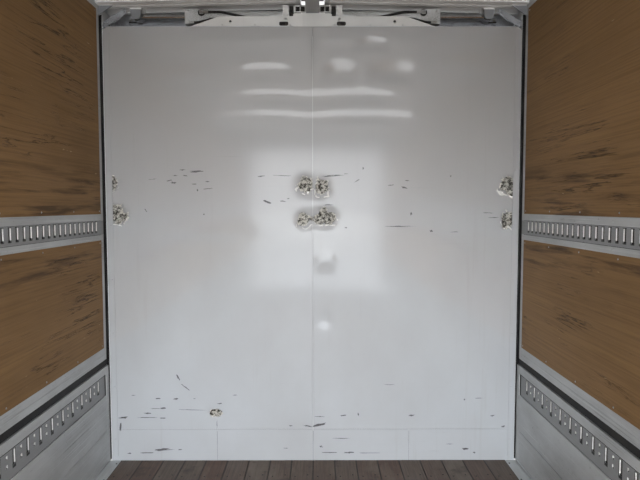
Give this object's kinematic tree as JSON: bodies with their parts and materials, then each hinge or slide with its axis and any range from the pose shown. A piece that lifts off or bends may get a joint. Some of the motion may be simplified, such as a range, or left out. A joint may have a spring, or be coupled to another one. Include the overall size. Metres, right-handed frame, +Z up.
{
  "type": "wing-side truck cargo body",
  "caption": "Box truck cargo body with swing-up wing sides, drop-down gates, rear doors, plank floor and white front wall with a lifting gear header",
  "frame": {"origin": "middle of the chassis seat, in the plane of the sills' undersides, centred between the four seat bolt holes", "axes": "+Y forward to the front wall, +X to the right-hand side, +Z up"},
  "size_m": [3.2028, 7.6503, 2.6992],
  "materials": {
    "chassis_steel": "satin black paint with road grime",
    "hardwood_floor": "worn oiled hardwood planks",
    "rail_aluminium": "scuffed mill aluminium",
    "white_lining": "glossy white paint, scratched",
    "white_panel": "white coated sheet",
    "header_paint": "grey paint",
    "beam_paint": "grey paint",
    "roof_frame": "white coated aluminium",
    "plywood": "varnished plywood, worn",
    "seal_rubber": "black rubber",
    "zinc_steel": "zinc plated steel",
    "cylinder_paint": "grey paint",
    "rod_chrome": "hard chrome",
    "lamp_amber": "amber lens",
    "hose_rubber": "black braided hose cover"
  },
  "bodies": {
    "root": {"sills": "chassis_steel", "cross_members": "chassis_steel", "floor_planks": "hardwood_floor", "side_rails": "rail_aluminium", "marker_lamps": "lamp_amber", "gate_posts": "rail_aluminium", "front_pillars": "white_panel", "rear_pillars": "rail_aluminium", "front_base_rail": "chassis_steel", "front_lining": "white_lining", "front_skin": "white_panel", "rear_sill": "zinc_steel", "rear_header_cover": "white_panel", "dock_buffers": "seal_rubber", "front_header": "header_paint", "rear_header": "header_paint", "guard_plates": "white_lining", "centre_beam": "beam_paint", "cylinder_brackets": "white_lining"},
    "wing_right": {"wing_roof_right": "white_panel", "wing_roof_frame_right": "roof_frame", "wing_side_right": "white_panel", "wing_side_frame_right": "rail_aluminium", "wing_lining_right": "plywood", "wing_lashing_rail_right": "rail_aluminium", "wing_seals_right": "seal_rubber"},
    "gate_front_right_body": {"gate_front_right": "rail_aluminium", "gate_front_hinges_right": "zinc_steel"},
    "cylinder_front_right_barrel": {"cylinder_front_barrel_right": "cylinder_paint", "cylinder_front_hoses_right": "hose_rubber"},
    "cylinder_front_right_rod": {"cylinder_front_rod_right": "rod_chrome"},
    "gate_rear_right_body": {"gate_rear_right": "rail_aluminium", "gate_rear_hinges_right": "zinc_steel"},
    "cylinder_rear_right_barrel": {"cylinder_rear_barrel_right": "cylinder_paint", "cylinder_rear_hoses_right": "hose_rubber"},
    "cylinder_rear_right_rod": {"cylinder_rear_rod_right": "rod_chrome"},
    "door_right": {"rear_door_right": "white_panel", "rear_door_lock_right": "zinc_steel"},
    "wing_left": {"wing_roof_left": "white_panel", "wing_roof_frame_left": "roof_frame", "wing_side_left": "white_panel", "wing_side_frame_left": "rail_aluminium", "wing_lining_left": "plywood", "wing_lashing_rail_left": "rail_aluminium", "wing_seals_left": "seal_rubber"},
    "gate_front_left_body": {"gate_front_left": "rail_aluminium", "gate_front_hinges_left": "zinc_steel"},
    "cylinder_front_left_barrel": {"cylinder_front_barrel_left": "cylinder_paint", "cylinder_front_hoses_left": "hose_rubber"},
    "cylinder_front_left_rod": {"cylinder_front_rod_left": "rod_chrome"},
    "gate_rear_left_body": {"gate_rear_left": "rail_aluminium", "gate_rear_hinges_left": "zinc_steel"},
    "cylinder_rear_left_barrel": {"cylinder_rear_barrel_left": "cylinder_paint", "cylinder_rear_hoses_left": "hose_rubber"},
    "cylinder_rear_left_rod": {"cylinder_rear_rod_left": "rod_chrome"},
    "door_left": {"rear_door_left": "white_panel", "rear_door_lock_left": "zinc_steel"}
  },
  "joints": [
    {"name": "wing_right_swing", "type": "hinge", "parent": "root", "child": "wing_right", "pos_m": [0.05, 0, 2.69015], "axis": [0, -1, 0], "range_deg": [0, 90]},
    {"name": "gate_front_right_drop", "type": "hinge", "parent": "root", "child": "gate_front_right_body", "pos_m": [1.155, 1.565, 0.203], "axis": [0, 1, 0], "range_deg": [0, 180]},
    {"name": "cylinder_front_right_tilt", "type": "hinge", "parent": "root", "child": "cylinder_front_right_barrel", "pos_m": [0.14, 3.16, 2.588], "axis": [0, -1, 0], "range_deg": [0, 89.34]},
    {"name": "cylinder_front_right_stroke", "type": "slide", "parent": "cylinder_front_right_barrel", "child": "cylinder_front_right_rod", "axis": [1, 0, 0], "range_m": [0, 0.19273]},
    {"name": "gate_rear_right_drop", "type": "hinge", "parent": "root", "child": "gate_rear_right_body", "pos_m": [1.155, -1.565, 0.203], "axis": [0, 1, 0], "range_deg": [0, 180]},
    {"name": "cylinder_rear_right_tilt", "type": "hinge", "parent": "root", "child": "cylinder_rear_right_barrel", "pos_m": [0.14, -3.16, 2.588], "axis": [0, -1, 0], "range_deg": [0, 89.34]},
    {"name": "cylinder_rear_right_stroke", "type": "slide", "parent": "cylinder_rear_right_barrel", "child": "cylinder_rear_right_rod", "axis": [1, 0, 0], "range_m": [0, 0.19273]},
    {"name": "door_right_swing", "type": "hinge", "parent": "root", "child": "door_right", "pos_m": [1.18, -3.28, 1.38], "axis": [0, 0, 1], "range_deg": [-110, 155]},
    {"name": "wing_left_swing", "type": "hinge", "parent": "root", "child": "wing_left", "pos_m": [-0.05, 0, 2.69015], "axis": [0, 1, 0], "range_deg": [0, 90]},
    {"name": "gate_front_left_drop", "type": "hinge", "parent": "root", "child": "gate_front_left_body", "pos_m": [-1.155, 1.565, 0.203], "axis": [0, -1, 0], "range_deg": [0, 180]},
    {"name": "cylinder_front_left_tilt", "type": "hinge", "parent": "root", "child": "cylinder_front_left_barrel", "pos_m": [-0.14, 3.16, 2.588], "axis": [0, 1, 0], "range_deg": [0, 89.34]},
    {"name": "cylinder_front_left_stroke", "type": "slide", "parent": "cylinder_front_left_barrel", "child": "cylinder_front_left_rod", "axis": [-1, 0, 0], "range_m": [0, 0.19273]},
    {"name": "gate_rear_left_drop", "type": "hinge", "parent": "root", "child": "gate_rear_left_body", "pos_m": [-1.155, -1.565, 0.203], "axis": [0, -1, 0], "range_deg": [0, 180]},
    {"name": "cylinder_rear_left_tilt", "type": "hinge", "parent": "root", "child": "cylinder_rear_left_barrel", "pos_m": [-0.14, -3.16, 2.588], "axis": [0, 1, 0], "range_deg": [0, 89.34]},
    {"name": "cylinder_rear_left_stroke", "type": "slide", "parent": "cylinder_rear_left_barrel", "child": "cylinder_rear_left_rod", "axis": [-1, 0, 0], "range_m": [0, 0.19273]},
    {"name": "door_left_swing", "type": "hinge", "parent": "root", "child": "door_left", "pos_m": [-1.18, -3.28, 1.38], "axis": [0, 0, -1], "range_deg": [-110, 155]}
  ],
  "couplings": [
    {"joint": "cylinder_front_right_tilt", "follows": "wing_right_swing", "ratio": 0.99208},
    {"joint": "cylinder_front_right_stroke", "follows": "wing_right_swing", "m_per_rad": 0.12238},
    {"joint": "cylinder_rear_right_tilt", "follows": "wing_right_swing", "ratio": 0.99208},
    {"joint": "cylinder_rear_right_stroke", "follows": "wing_right_swing", "m_per_rad": 0.12238},
    {"joint": "cylinder_front_left_tilt", "follows": "wing_left_swing", "ratio": 0.99208},
    {"joint": "cylinder_front_left_stroke", "follows": "wing_left_swing", "m_per_rad": 0.12238},
    {"joint": "cylinder_rear_left_tilt", "follows": "wing_left_swing", "ratio": 0.99208},
    {"joint": "cylinder_rear_left_stroke", "follows": "wing_left_swing", "m_per_rad": 0.12238}
  ]
}
